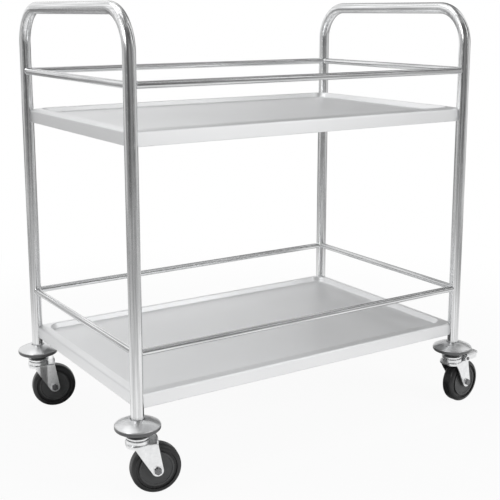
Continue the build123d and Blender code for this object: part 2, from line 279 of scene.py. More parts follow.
def draw_gleam(finish, shader, amount, axis, turn):
    """Draws gleams out on a surface, along the way that runs square to an axis or, after a quarter turn,
    across it."""
    nodes = finish.node_tree.nodes
    place = nodes.new("ShaderNodeTexCoord")
    along = nodes.new("ShaderNodeVectorMath")
    along.operation = "CROSS_PRODUCT"
    along.inputs[1].default_value = axis
    finish.node_tree.links.new(place.outputs["Normal"], along.inputs[0])
    finish.node_tree.links.new(along.outputs["Vector"], shader.inputs["Tangent"])
    shader.inputs["Anisotropic"].default_value = amount
    shader.inputs["Anisotropic Rotation"].default_value = turn


def by_facing(finish, along_ends, elsewhere):
    """Takes one grain on faces that look along X and the other grain elsewhere."""
    nodes = finish.node_tree.nodes
    links = finish.node_tree.links
    place = nodes.new("ShaderNodeTexCoord")
    parts = nodes.new("ShaderNodeSeparateXYZ")
    size = nodes.new("ShaderNodeMath")
    size.operation = "ABSOLUTE"
    mix = nodes.new("ShaderNodeMix")
    links.new(place.outputs["Normal"], parts.inputs["Vector"])
    links.new(parts.outputs["X"], size.inputs[0])
    links.new(size.outputs["Value"], mix.inputs["Factor"])
    links.new(elsewhere, mix.inputs["A"])
    links.new(along_ends, mix.inputs["B"])
    return mix.outputs["Result"]


def by_height(finish, height, below, above):
    """Takes one grain below a height and changes to the other above it."""
    nodes = finish.node_tree.nodes
    links = finish.node_tree.links
    place = nodes.new("ShaderNodeTexCoord")
    parts = nodes.new("ShaderNodeSeparateXYZ")
    share = nodes.new("ShaderNodeMapRange")
    share.inputs["From Min"].default_value = height
    share.inputs["From Max"].default_value = height + tube_radius
    mix = nodes.new("ShaderNodeMix")
    links.new(place.outputs["Object"], parts.inputs["Vector"])
    links.new(parts.outputs["Z"], share.inputs["Value"])
    links.new(share.outputs["Result"], mix.inputs["Factor"])
    links.new(below, mix.inputs["A"])
    links.new(above, mix.inputs["B"])
    return mix.outputs["Result"]


def polished_tube_finish(name, tones, axis, turn, lines, handle_lines=None):
    """Bright stainless tube with fine lines drawn along it and gleams drawn out with them. An end frame has
    other lines along its handle."""
    dark, light = tones
    finish, shader = new_finish(name, light, metallic=1.0, roughness=0.16)
    drawn = grain(finish, scale=420, stretch=lines, detail=2.0)
    if handle_lines:
        along_handle = grain(finish, scale=420, stretch=handle_lines, detail=2.0)
        drawn = by_height(finish, handle_height - tube_radius, drawn, along_handle)
    tint(finish, shader, drawn, dark, light)
    gloss(finish, shader, grain(finish, scale=60), low=0.13, high=0.18)
    draw_gleam(finish, shader, amount=0.85, axis=axis, turn=turn)
    return finish


def satin_sheet_finish():
    """Stainless sheet with a fine satin grain along its longer way."""
    finish, shader = new_finish("satin_stainless_sheet", (0.86, 0.865, 0.87), metallic=1.0, roughness=0.47)
    lengthwise = grain(finish, scale=1400, stretch=lengthwise_lines)
    crosswise = grain(finish, scale=1400, stretch=crosswise_lines)
    lines = by_facing(finish, crosswise, lengthwise)
    clouds = grain(finish, scale=4)
    tint(finish, shader, clouds, dark=(0.85, 0.855, 0.86), light=(0.88, 0.885, 0.89))
    gloss(finish, shader, lines, low=0.44, high=0.50)
    relief(finish, shader, lines, depth=0.00001, strength=0.08)
    draw_gleam(finish, shader, amount=0.5, axis=(0, 0.05, 1), turn=quarter_turn)
    return finish


def zinc_finish():
    """Bright zinc on pressed steel, faintly clouded."""
    finish, shader = new_finish("bright_zinc_plate", (0.87, 0.875, 0.88), metallic=1.0, roughness=0.32)
    clouds = grain(finish, scale=140)
    drawn = grain(finish, scale=900, stretch=(1, 1, 0.06))
    tint(finish, shader, clouds, dark=(0.82, 0.825, 0.83), light=(0.92, 0.925, 0.93))
    gloss(finish, shader, drawn, low=0.26, high=0.40)
    relief(finish, shader, drawn, depth=0.00003, strength=0.25)
    return finish


def fastener_finish():
    """Plated bolts and pins, a little darker than the pressings."""
    finish, shader = new_finish("plated_fastener", (0.2, 0.2, 0.205), metallic=1.0, roughness=0.3)
    scuffs = grain(finish, scale=700)
    tint(finish, shader, scuffs, dark=(0.14, 0.14, 0.145), light=(0.26, 0.26, 0.265))
    gloss(finish, shader, scuffs, low=0.24, high=0.42)
    relief(finish, shader, scuffs, depth=0.00003, strength=0.3)
    return finish


def bumper_finish():
    """Silver-grey moulded plastic, bright on the dome, with painted shade from the lip down: a dark, dull
    grey.
    """
    finish, shader = new_finish("silver_grey_plastic", (0.6, 0.605, 0.61), metallic=0.8, roughness=0.3)
    nodes = finish.node_tree.nodes
    links = finish.node_tree.links
    mould = grain(finish, scale=1500)
    place = nodes.new("ShaderNodeTexCoord")
    parts = nodes.new("ShaderNodeSeparateXYZ")
    # Painted shade: below the lip's top the colour turns dark and the plastic loses its metal sheen
    height = nodes.new("ShaderNodeMapRange")
    height.inputs["From Min"].default_value = bumper_edge_top - bumper_shade_change
    height.inputs["From Max"].default_value = bumper_edge_top
    tone = nodes.new("ShaderNodeValToRGB")
    tone.color_ramp.elements[0].color = (0.13, 0.132, 0.135, 1)
    tone.color_ramp.elements[1].color = (0.77, 0.775, 0.78, 1)
    sheen = nodes.new("ShaderNodeMapRange")
    sheen.inputs["To Min"].default_value = 0.1
    sheen.inputs["To Max"].default_value = 0.85
    links.new(place.outputs["Object"], parts.inputs["Vector"])
    links.new(parts.outputs["Z"], height.inputs["Value"])
    links.new(height.outputs["Result"], tone.inputs["Fac"])
    links.new(height.outputs["Result"], sheen.inputs["Value"])
    links.new(tone.outputs["Color"], shader.inputs["Base Color"])
    links.new(sheen.outputs["Result"], shader.inputs["Metallic"])
    gloss(finish, shader, mould, low=0.25, high=0.32)
    relief(finish, shader, mould, depth=0.00002, strength=0.1)
    return finish


def hub_finish():
    """Dark grey moulded wheel centre."""
    finish, shader = new_finish("grey_wheel_plastic", (0.058, 0.059, 0.06), metallic=0.0, roughness=0.45)
    mould = grain(finish, scale=1800)
    clouds = grain(finish, scale=60)
    tint(finish, shader, clouds, dark=(0.050, 0.051, 0.052), light=(0.066, 0.067, 0.068))
    gloss(finish, shader, mould, low=0.38, high=0.52)
    relief(finish, shader, mould, depth=0.00005, strength=0.4)
    return finish


def rubber_finish(name, dark, light):
    """Dark rubber with a dull, slightly dusty skin."""
    finish, shader = new_finish(name, dark, metallic=0.0, roughness=0.6)
    dust = grain(finish, scale=90, detail=6.0)
    skin = grain(finish, scale=2200)
    tint(finish, shader, dust, dark, light)
    gloss(finish, shader, dust, low=0.3, high=0.42)
    relief(finish, shader, skin, depth=0.00006, strength=0.5)
    return finish


end_frame_finish = polished_tube_finish(
    "polished_end_frame",
    post_tones,
    axis=(1, 0, 0),
    turn=0,
    lines=upright_lines,
    handle_lines=crosswise_lines,
)
# Both rail finishes take the darker tones, a painted shade
long_rail_finish = polished_tube_finish(
    "polished_long_rail",
    shaded_rail_tones,
    axis=(1, 0, 0),
    turn=quarter_turn,
    lines=lengthwise_lines,
)
end_rail_finish = polished_tube_finish(
    "polished_end_rail",
    shaded_rail_tones,
    axis=(0, 1, 0),
    turn=quarter_turn,
    lines=crosswise_lines,
)
rail_finishes = {
    "front": long_rail_finish,
    "back": long_rail_finish,
    "left": end_rail_finish,
    "right": end_rail_finish,
}
finishes = {
    "polished_tube": end_frame_finish,
    "stainless_sheet": satin_sheet_finish(),
    "zinc_plate": zinc_finish(),
    "fastener_steel": fastener_finish(),
    "bumper_plastic": bumper_finish(),
    "wheel_plastic": hub_finish(),
    "tyre_rubber": rubber_finish("tyre_rubber_skin", (0.012, 0.012, 0.0125), (0.022, 0.022, 0.023)),
    "shoe_rubber": rubber_finish("brake_rubber_skin", (0.008, 0.008, 0.008), (0.016, 0.016, 0.016)),
}
for node in frame["nodes"].values():
    for place in node.material_slots:
        place.material = finishes[place.material.name]


# Ways of shaping

def far_edges(result):
    """The edges of the far ring after a pull."""
    verts = {item for item in result if isinstance(item, bmesh.types.BMVert)}
    edges = [item for item in result if isinstance(item, bmesh.types.BMEdge)]
    return [edge for edge in edges if verts.issuperset(edge.verts)]


def pull(bm, edges, way):
    """Draws a ring of edges out along a straight way."""
    result = bmesh.ops.extrude_edge_only(bm, edges=edges)["geom"]
    verts = [item for item in result if isinstance(item, bmesh.types.BMVert)]
    bmesh.ops.translate(bm, vec=Vector(way), verts=verts)
    return far_edges(result)


def bend(bm, edges, centre, axis, angle):
    """Carries a ring of edges round a bend."""
    result = bmesh.ops.spin(
        bm, geom=edges, cent=centre, axis=axis, angle=angle, steps=bend_steps, use_merge=False
    )
    return [item for item in result["geom_last"] if isinstance(item, bmesh.types.BMEdge)]


def ring(bm, sides, radius, place):
    """A ring of edges at a place."""
    verts = bmesh.ops.create_circle(bm, segments=sides, radius=radius, matrix=place)["verts"]
    return list({edge for vert in verts for edge in vert.link_edges})


def round_corners(bm, corners, radius, steps=small_corner_steps):
    """Rounds corners of a flat outline."""
    bmesh.ops.bevel(
        bm,
        geom=corners,
        offset=radius,
        offset_type="OFFSET",
        affect="VERTICES",
        segments=steps,
        profile=0.5,
        material=-1,
    )


def round_edges(bm, edges, radius):
    """Rounds edges of a shape."""
    bmesh.ops.bevel(
        bm,
        geom=edges,
        offset=radius,
        offset_type="OFFSET",
        affect="EDGES",
        segments=edge_steps,
        profile=0.5,
        material=-1,
    )


def sink_face(bm, face, run, drop):
    """Draws a face in on itself by a run and lowers it by a drop."""
    bmesh.ops.inset_region(bm, faces=[face], thickness=run, depth=0, use_even_offset=True)
    bmesh.ops.translate(bm, vec=(0, 0, -drop), verts=face.verts[:])


def arc_steps(radius, turn, steps):
    """The way along and the way down of each step of an arc that starts out level."""
    angles = [turn * number / steps for number in range(steps + 1)]
    return [
        (radius * (sin(last) - sin(first)), radius * (cos(first) - cos(last)))
        for first, last in zip(angles, angles[1:])
    ]


def round_shoulder(bm, face, radius):
    """Raises a face on a round shoulder."""
    for rise, run in arc_steps(radius, pi / 2, shoulder_steps):
        sink_face(bm, face, run, -rise)


def turned(outline, rounding=(), steps=turning_steps):
    """A shape turned about Z from a closed outline of (radius, height) points.
    Rounding gives pairs of a point's number and the radius that its corner gets."""
    bm = bmesh.new()
    corners = [bm.verts.new((radius, 0, height)) for radius, height in outline]
    bm.faces.new(corners)
    for number, radius in rounding:
        round_corners(bm, [corners[number]], radius)
    bmesh.ops.delete(bm, geom=bm.faces[:], context="FACES_ONLY")
    loop = bm.verts[:] + bm.edges[:]
    bmesh.ops.spin(bm, geom=loop, cent=(0, 0, 0), axis=(0, 0, 1), angle=2 * pi, steps=steps, use_merge=True)
    return bm


def cut(bm, point, facing, clear=False):
    """Cuts a shape along a plane, and clears what stands beyond it if asked."""
    bmesh.ops.bisect_plane(
        bm,
        geom=bm.verts[:] + bm.edges[:] + bm.faces[:],
        plane_co=point,
        plane_no=facing,
        clear_outer=clear,
    )


def join(bm, other):
    """Adds another shape to a shape."""
    mesh = bpy.data.meshes.new("joined_shape")
    other.to_mesh(mesh)
    other.free()
    bm.from_mesh(mesh)
    bpy.data.meshes.remove(mesh)


def round_bar(bm, radius, end_radius, height, place, sides=disc_sides):
    """A disc or bar that stands on a place and may narrow to its far end."""
    return bmesh.ops.create_cone(
        bm,
        cap_ends=True,
        segments=sides,
        radius1=radius,
        radius2=end_radius,
        depth=height,
        matrix=place @ Matrix.Translation((0, 0, height / 2)),
    )["verts"]


def hexagon(bm, across, height, place):
    """A hexagon bar with its outer edges eased, standing on a place."""
    reach = across / sqrt(3)
    verts = round_bar(bm, reach, reach, height, place, sides=6)
    outward = place.to_3x3() @ Vector((0, 0, 1))
    faces = {face for vert in verts for face in vert.link_faces}
    top = max(faces, key=lambda face: face.calc_center_median().dot(outward))
    round_edges(bm, list(top.edges), height * hexagon_easing)


def finish_piece(bm, name, body, slot, replaced, finish=None):
    """Makes a shape a piece with its finish, riding on its body in place of the plain nodes."""
    bmesh.ops.remove_doubles(bm, verts=bm.verts, dist=weld_distance)
    bmesh.ops.recalc_face_normals(bm, faces=bm.faces)
    for face in bm.faces:
        face.smooth = True
    for edge in bm.edges:
        edge.smooth = edge.calc_face_angle(0) < crease_angle
    mesh = bpy.data.meshes.new(name)
    bm.to_mesh(mesh)
    bm.free()
    mesh.materials.append(finish or finishes[slot])
    piece = bpy.data.objects.new(name, mesh)
    bpy.context.scene.collection.objects.link(piece)
    even = piece.modifiers.new("even_shading", "WEIGHTED_NORMAL")
    even.keep_sharp = True
    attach(piece, body)
    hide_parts(*replaced)


# Frame pieces

def end_frame_tube(side):
    """Two posts and the handle between them, bent from one tube."""
    bm = bmesh.new()
    x = side * post_x
    bend_height = handle_height - handle_bend_radius
    bend_y = post_y - handle_bend_radius
    edges = ring(bm, tube_sides, tube_radius, Matrix.Translation((x, -post_y, tube_foot)))
    edges = pull(bm, edges, (0, 0, bend_height - tube_foot))
    edges = bend(bm, edges, (x, -bend_y, bend_height), (1, 0, 0), -pi / 2)
    edges = pull(bm, edges, (0, 2 * bend_y, 0))
    edges = bend(bm, edges, (x, bend_y, bend_height), (1, 0, 0), -pi / 2)
    pull(bm, edges, (0, 0, tube_foot - bend_height))
    bmesh.ops.remove_doubles(bm, verts=bm.verts, dist=weld_distance)
    bmesh.ops.holes_fill(bm, edges=[edge for edge in bm.edges if edge.is_boundary])
    return bm


def guard_rail_tube(first, last, low, high):
    """Thin tube between two posts, coped to them and welded all round."""
    bm = bmesh.new()
    radius = (high.z - low.z) / 2
    height = Vector((0, 0, (high.z + low.z) / 2))
    start = posts[first] + height
    end = posts[last] + height
    along = (end - start).normalized()
    sideways = along.cross(Vector((0, 0, 1)))
    turn = along.to_track_quat("Z", "Y").to_matrix().to_4x4()
    span = (end - start).length
    places = [(tube_radius + gap * weld_leg, flare * weld_leg) for gap, flare in weld_profile]
    places += [(span - reach, flare) for reach, flare in reversed(places)]
    edges = []
    for reach, flare in places:
        ends = ring(bm, rail_sides, radius + flare, Matrix.Translation(start + along * reach) @ turn)
        if edges:
            bmesh.ops.bridge_loops(bm, edges=edges + ends)
        edges = ends
    for vert in bm.verts:
        offset = vert.co - start
        reach = offset.dot(along)
        nearest = min(reach, span - reach)
        if nearest < tube_radius + coped_stretch:
            cope = tube_radius - sqrt(tube_radius**2 - offset.dot(sideways) ** 2)
            vert.co += along * (-cope if reach < span / 2 else cope)
    return bm


def shelf_pan(low, high):
    """Pressed pan: a rim that falls outward round a sunk floor, and an apron notched round the posts with a
    flange under it."""
    bm = bmesh.new()
    rim = high.z
    apron_top = rim - rim_fall - rim_outer_radius
    notches = []
    for number, post in enumerate(posts.values()):
        angle = pi / 2 * (number + 1)
        centre = post + Vector((0, 0, apron_top))
        start = bm.verts.new(centre + tube_radius * Vector((cos(angle), sin(angle), 0)))
        spun = bmesh.ops.spin(
            bm,
            geom=[start],
            cent=centre,
            axis=(0, 0, 1),
            angle=-pi / 2,
            steps=notch_steps,
            use_merge=False,
        )
        notches.append((start, spun["geom_last"][0]))
    for before, after in zip(notches[-1:] + notches, notches):
        bm.edges.new((before[1], after[0]))
    outline = bm.edges[:]
    top = bmesh.ops.contextual_create(bm, geom=outline)["faces"][0]
    foot = pull(bm, outline, (0, 0, low.z - apron_top))
    flange = pull(bm, foot, (0, 0, 0))
    turned_in = list({vert for edge in flange for vert in edge.verts})
    drawn_in = (1 - apron_flange / post_x, 1 - apron_flange / post_y, 1)
    bmesh.ops.scale(bm, vec=drawn_in, verts=turned_in)
    round_shoulder(bm, top, rim_outer_radius)
    rim_edges = list(top.edges)
    bmesh.ops.delete(bm, geom=[top], context="FACES_ONLY")

    fold = pi / 2 - pan_wall_slope
    inset = rim_width - rim_inner_radius * tan(fold / 2)
    inner_x = post_x - inset
    inner_y = post_y - inset
    signs = ((-1, -1), (1, -1), (1, 1), (-1, 1))
    corners = [bm.verts.new((x * inner_x, y * inner_y, rim)) for x, y in signs]
    bm.faces.new(corners)
    round_corners(bm, corners, pan_corner_radius, corner_steps)
    floor = max(bm.faces, key=lambda face: face.calc_area())
    bmesh.ops.bridge_loops(bm, edges=rim_edges + list(floor.edges))

    wall_drop = pan_depth - (rim_inner_radius + pan_floor_cove) * (1 - cos(fold))
    runs = arc_steps(rim_inner_radius, fold, rim_edge_steps)
    runs.append((wall_drop * tan(pan_wall_slope), wall_drop))
    runs += reversed(arc_steps(pan_floor_cove, fold, floor_cove_steps))
    for run, drop in runs:
        sink_face(bm, floor, run, drop)

    round_edges(bm, foot, apron_foot_radius)
    bmesh.ops.recalc_face_normals(bm, faces=bm.faces)
    if floor.normal.z < 0:
        bmesh.ops.reverse_faces(bm, faces=bm.faces)
    bmesh.ops.solidify(bm, geom=bm.faces[:], thickness=sheet)
    return bm


for end, side in {"left": -1, "right": 1}.items():
    node = f"{end}_end_frame"
    finish_piece(end_frame_tube(side), f"{end}_handle_tube", "frame", "polished_tube", [node])
for level in ("upper", "lower"):
    node = f"{level}_shelf"
    finish_piece(shelf_pan(*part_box(node)), f"{level}_pan", "frame", "stainless_sheet", [node])
    for edge, ends in rail_ends.items():
        node = f"{level}_{edge}_rail"
        rail = guard_rail_tube(*ends, *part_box(node))
        finish = rail_finishes[edge]
        finish_piece(rail, f"{level}_{edge}_rail_tube", "frame", "polished_tube", [node], finish)


# Caster pieces, modelled about the swivel axis, trailing along +X

def bumper_disc():
    """Dome round the foot of the post, a blunt edge and a cone down to the neck."""
    edge_bottom = bumper_edge_top - bumper_edge_thickness
    seat = tube_radius + bumper_clearance
    collar = seat + bumper_collar
    dome_span = bumper_radius - collar
    dome = []
    for number in range(1, dome_steps):
        share = number / dome_steps
        swell = 4 * bumper_dome * share * (1 - share)
        dome.append((bumper_radius - dome_span * share, bumper_edge_top + bumper_edge_drop * share + swell))
    outline = [
        (stem_radius, bumper_low.z),
        (bumper_neck_radius, bumper_low.z),
        (bumper_neck_radius, bumper_low.z + bumper_neck_height),
        (bumper_radius, edge_bottom),
        (bumper_radius, bumper_edge_top),
        *dome,
        (collar, bumper_high.z),
        (seat, bumper_high.z - bumper_collar_depth),
        (seat, tube_foot),
        (stem_radius, tube_foot),
    ]
    return turned(outline, [(2, bumper_neck_cove), (3, bumper_edge_radius), (4, bumper_edge_radius)])


def swivel_plate():
    """Round plate that carries the upper ball race."""
    radius = (plate_high.x - plate_low.x) / 2
    outline = [
        (stem_radius, plate_low.z),
        (upper_race_radius, plate_low.z),
        (upper_race_radius, plate_bottom),
        (radius, plate_bottom),
        (radius, plate_high.z),
        (stem_radius, plate_high.z),
    ]
    return turned(outline, [(3, plate_edge), (4, plate_edge)])


def tyre_ring():
    """Tyre with round shoulders and a groove on each side round the wheel centre."""
    groove_radius = hub_radius + tyre_groove_width
    groove_half = tyre_half_width - tyre_groove_depth
    near = [
        (wheel_radius, tyre_half_width),
        (groove_radius, tyre_half_width),
        (groove_radius, groove_half),
        (hub_radius, groove_half),
    ]
    far = [(out, -across) for out, across in reversed(near)]
    last = len(near) + len(far) - 1
    rounding = [(0, tyre_shoulder), (last, tyre_shoulder)]
    rounding += [(1, tyre_lip), (last - 1, tyre_lip), (2, tyre_cove), (last - 2, tyre_cove)]
    return turned(near + far, rounding, wheel_steps)


def wheel_centre():
    """Boss and dished disc with a raised ring."""
    dish_half = hub_disc_half - hub_disc_dish
    near = [
        (hub_bore, hub_boss_half),
        (hub_boss_radius, hub_boss_half),
        (hub_boss_radius, dish_half),
        (hub_radius - hub_disc_ring, dish_half),
        (hub_radius - hub_disc_ring, hub_disc_half),
        (hub_radius, hub_disc_half),
    ]
    far = [(radius, -across) for radius, across in reversed(near)]
    last = len(near) + len(far) - 1
    rounding = []
    for number in range(1, len(near)):
        rounding += [(number, hub_edge), (last - number, hub_edge)]
    return turned(near + far, rounding, wheel_steps)


def leg_edge_facing(corner_x, trail):
    """Which way the straight edge of a leg faces, that runs from a corner of the crown to the round end."""
    corner = Vector((corner_x - trail, crown_bottom - wheel_radius))
    turn = acos(leg_end_radius / corner.length)
    angle = atan2(corner.y, corner.x) + (turn if corner_x < 0 else -turn)
    return Vector((cos(angle), 0, sin(angle)))


def fork_sheet_form(trail):
    """The fork as one bent sheet: a wide crown with a skirt round its front, and legs that slope in to a
    crease and run down to round ends about the axle."""
    bm = bmesh.new()
    front_half = leg_outer + leg_step
    past_rear = trail + 2 * leg_end_radius
    plan = [
        (past_rear, -leg_outer),
        (leg_crease, -leg_outer),
        (leg_crease - leg_facet, -front_half),
        (-crown_front, -front_half),
    ]
    plan += [(x, -y) for x, y in reversed(plan)]
    corners = [bm.verts.new((x, y, crown_top)) for x, y in plan]
    bm.faces.new(corners)
    round_corners(bm, corners[3:5], crown_front_corner, corner_steps)
    round_corners(bm, corners[1:3] + corners[5:7], leg_crease_radius, crease_steps)
    crown = bm.faces[:][0]
    around = [
        edge
        for edge in crown.edges
        if any(vert.co.x < past_rear - weld_distance for vert in edge.verts)
    ]
    foot = wheel_radius - leg_end_radius
    pull(bm, around, (0, 0, foot - crown_top))
    round_edges(bm, around, crown_bend)

    axle = Vector((trail, 0, wheel_radius))
    down = Vector((0, 0, -1))
    skirt_foot = crown_bottom - crown_skirt
    rear = leg_edge_facing(crown_rear, trail)
    front = leg_edge_facing(-leg_front, trail)
    cut(bm, axle + rear * leg_end_radius, rear, clear=True)
    cut(bm, Vector((0, 0, skirt_foot)), down)
    cut(bm, axle + front * leg_end_radius, front)
    ahead = []
    for face in bm.faces:
        middle = face.calc_center_median()
        if middle.z < skirt_foot and (middle - axle).dot(front) > leg_end_radius:
            ahead.append(face)
    bmesh.ops.delete(bm, geom=ahead, context="FACES")
    for facing in (front, rear):
        ends = [
            vert
            for vert in bm.verts
            if vert.co.z < foot + weld_distance
            and (vert.co - axle).dot(facing) > leg_end_radius - weld_distance
        ]
        round_corners(bm, ends, leg_end_rounding * tan(facing.angle(down) / 2), corner_steps)
    bmesh.ops.remove_doubles(bm, verts=bm.verts, dist=weld_distance)
    bmesh.ops.recalc_face_normals(bm, faces=bm.faces)
    crown = max(bm.faces, key=lambda face: face.calc_center_median().z)
    if crown.normal.z < 0:
        bmesh.ops.reverse_faces(bm, faces=bm.faces)
    bmesh.ops.solidify(bm, geom=bm.faces[:], thickness=fork_sheet)
    return bm


def fork_pressing(trail, braked):
    """Pressed fork with the cup of the lower race on its crown and a raised boss round each end of the axle.
    A braked one has ears for the pedal's pivot, a plain one a flange turned up at the rear."""
    bm = fork_sheet_form(trail)
    cup = [(cup_bore, crown_bottom), (cup_radius, crown_bottom), (cup_radius, cup_top), (cup_bore, cup_top)]
    join(bm, turned(cup, [(2, cup_edge), (3, cup_edge)]))
    for side in (-1, 1):
        outward = Matrix.Rotation(-side * pi / 2, 4, "X")
        axle_end = Matrix.Translation((trail, side * leg_outer, wheel_radius)) @ outward
        round_bar(bm, axle_boss_radius, axle_boss_radius - axle_boss_rise, axle_boss_rise, axle_end)
        if braked:
            ear = Matrix.Translation((pivot_trail, side * (leg_outer - fork_sheet), pivot_height)) @ outward
            round_bar(bm, pivot_ear_radius, pivot_ear_radius, fork_sheet, ear)
    if not braked:
        flange = bmesh.new()
        top = crown_bottom + rear_flange_height
        outline = [(-leg_outer, crown_bottom), (leg_outer, crown_bottom)]
        outline += [(leg_outer, top), (-leg_outer, top)]
        corners = [flange.verts.new((crown_rear, y, z)) for y, z in outline]
        flange.faces.new(corners)
        round_corners(flange, corners[2:], rear_flange_corner, corner_steps)
        bmesh.ops.recalc_face_normals(flange, faces=flange.faces)
        bmesh.ops.solidify(flange, geom=flange.faces[:], thickness=fork_sheet)
        join(bm, flange)
    return bm


def axle_screw(trail):
    """Hexagon head, its shank through the wheel and the tail past the nut."""
    bm = bmesh.new()
    near = Matrix.Translation((trail, -leg_outer, wheel_radius)) @ Matrix.Rotation(pi / 2, 4, "X")
    hexagon(bm, axle_head_across, axle_head_height, near)
    length = 2 * leg_outer + axle_nut_height + axle_tail
    shank_end = near @ Matrix.Translation((0, 0, -length))
    round_bar(bm, axle_radius, axle_radius, length, shank_end, pin_sides)
    return bm


def axle_nut(trail):
    """Hexagon nut on the far side."""
    bm = bmesh.new()
    far = Matrix.Translation((trail, leg_outer, wheel_radius)) @ Matrix.Rotation(-pi / 2, 4, "X")
    hexagon(bm, axle_head_across, axle_nut_height, far)
    return bm


def pivot_pin():
    """Pin through the pedal and the fork's ears, headed over at both ends."""
    end = pin_half + pin_head_height
    outline = [
        (0, -end),
        (pin_head_radius, -end),
        (pin_head_radius, -pin_half),
        (pin_radius, -pin_half),
        (pin_radius, pin_half),
        (pin_head_radius, pin_half),
        (pin_head_radius, end),
        (0, end),
    ]
    bm = turned(outline, [(1, pin_head_edge), (6, pin_head_edge)], pin_sides)
    across = Matrix.Translation((pivot_trail, 0, pivot_height)) @ Matrix.Rotation(pi / 2, 4, "X")
    bmesh.ops.transform(bm, matrix=across, verts=bm.verts)
    return bm


def pedal_pressing():
    """Pressed pedal: a tread with a sunk middle, round shoulders, a lip, and a skirt each side down to the
    pivot."""
    bm = bmesh.new()
    plan = (
        (pedal_front, -pedal_half),
        (pedal_reach, -pedal_half),
        (pedal_reach, pedal_half),
        (pedal_front, pedal_half),
    )
    shoulder_foot = pedal_top - pedal_shoulder
    corners = [bm.verts.new((x, y, shoulder_foot)) for x, y in plan]
    bm.faces.new(corners)
    round_corners(bm, corners[1:3], pedal_corner)
    tread = bm.faces[:][0]
    lip = pull(bm, list(tread.edges), (0, 0, pedal_shoulder - pedal_lip))
    sides = [
        edge
        for edge in lip
        if all(abs(vert.co.y) > pedal_half - weld_distance for vert in edge.verts)
    ]
    pull(bm, sides, (0, 0, pedal_lip - pedal_skirt))
    round_shoulder(bm, tread, pedal_shoulder)
    sink_face(bm, tread, tread_margin, 0)
    sink_face(bm, tread, tread_slope, tread_depth)
    bmesh.ops.recalc_face_normals(bm, faces=bm.faces)
    if tread.normal.z < 0:
        bmesh.ops.reverse_faces(bm, faces=bm.faces)
    bmesh.ops.solidify(bm, geom=bm.faces[:], thickness=pedal_sheet)
    boss_height = pedal_sheet + pedal_boss_rise
    for side in (-1, 1):
        outward = Matrix.Rotation(-side * pi / 2, 4, "X")
        inside = Matrix.Translation((pivot_trail, side * (pedal_half - pedal_sheet), pivot_height)) @ outward
        round_bar(bm, pedal_boss_radius, pedal_boss_radius, boss_height, inside)
    return bm


upright = Matrix.Identity(4)
for corner, post in posts.items():
    trailing = (Vector(joints[f"{corner}_wheel_spin"]["pos_m"]) - post).to_2d()
    trail = trailing.length
    set_under = Matrix.Translation(post) @ Matrix.Rotation(atan2(trailing.y, trailing.x), 4, "Z")
    on_axle = Matrix.Translation((trail, 0, wheel_radius)) @ Matrix.Rotation(pi / 2, 4, "X")
    fork = fork_pressing(trail, corner in braked_casters)
    fork_body = f"{corner}_fork"
    wheel_body = f"{corner}_wheel"
    pedal_body = f"{corner}_pedal"
    made = [
        (bumper_disc(), upright, "bumper_disc", "frame", "bumper_plastic", "bumper"),
        (swivel_plate(), upright, "race_plate", "frame", "zinc_plate", "swivel_plate"),
        (fork, upright, "fork_pressing", fork_body, "zinc_plate", "fork"),
        (axle_screw(trail), upright, "axle_screw", fork_body, "fastener_steel", "axle_bolt"),
        (axle_nut(trail), upright, "axle_hex_nut", fork_body, "fastener_steel", "axle_nut"),
        (wheel_centre(), on_axle, "wheel_centre", wheel_body, "wheel_plastic", "wheel_hub"),
        (tyre_ring(), on_axle, "tyre_ring", wheel_body, "tyre_rubber", "tyre"),
    ]
    if corner in braked_casters:
        made += [
            (pedal_pressing(), upright, "pedal_pressing", pedal_body, "zinc_plate", "brake_pedal"),
            (pivot_pin(), upright, "pivot_pin", fork_body, "fastener_steel", "brake_pin"),
        ]
    for bm, place, name, body, slot, node in made:
        bmesh.ops.transform(bm, matrix=set_under @ place, verts=bm.verts)
        finish_piece(bm, f"{corner}_{name}", body, slot, [f"{corner}_{node}"])


# Studio

camera_place = Vector((-1.199, -1.860, 0.917))
camera_yaw = radians(-33.05)
camera_pitch = radians(-11.14)
image_side = 500
focal_pixels = 989
camera_shift = -0.09
sensor_width = 36.0
floor_side = 40.0
floor_shade_reach = 0.6
floor_white_reach = 1.7
floor_grey = 0.6
floor_roughness = 0.9
# Height above the floor of the glowing sheets that paint reflections and shadow into the metal
reflection_sheet_height = 0.002
screen_radius = 2.5
screen_steps = 48


def add_camera():
    """Camera at the photograph's angle."""
    data = bpy.data.cameras.new("camera")
    data.sensor_width = sensor_width
    data.lens = sensor_width * focal_pixels / image_side
    data.shift_y = camera_shift
    camera = bpy.data.objects.new("camera", data)
    camera.location = camera_place
    camera.rotation_euler = (pi / 2 + camera_pitch, 0, camera_yaw)
    bpy.context.scene.collection.objects.link(camera)
    bpy.context.scene.camera = camera


def shown(tree):
    """One on the rays that show the surroundings, straight or by way of metal or glass."""
    path = tree.nodes.new("ShaderNodeLightPath").outputs
    mark = path["Is Camera Ray"]
    for other in ("Is Glossy Ray", "Is Transmission Ray"):
        larger = tree.nodes.new("ShaderNodeMath")
        larger.operation = "MAXIMUM"
        tree.links.new(mark, larger.inputs[0])
        tree.links.new(path[other], larger.inputs[1])
        mark = larger.outputs["Value"]
    return mark


def add_world(soft_light):
    """White surroundings that give a plain soft light."""
    world = bpy.data.worlds.new("white_studio")
    bpy.context.scene.world = world
    world.use_nodes = True
    tree = world.node_tree
    background = tree.nodes["Background"]
    background.inputs["Color"].default_value = (1, 1, 1, 1)
    strength = tree.nodes.new("ShaderNodeMapRange")
    strength.inputs["To Min"].default_value = soft_light
    tree.links.new(shown(tree), strength.inputs["Value"])
    tree.links.new(strength.outputs["Result"], background.inputs["Strength"])


def add_stage(bm, name):
    """Makes a shape part of the studio."""
    mesh = bpy.data.meshes.new(name)
    bm.to_mesh(mesh)
    bm.free()
    stage_material = bpy.data.materials.new(f"{name}_cloth")
    stage_material.use_nodes = True
    mesh.materials.append(stage_material)
    stage = bpy.data.objects.new(name, mesh)
    bpy.context.scene.collection.objects.link(stage)
    return stage


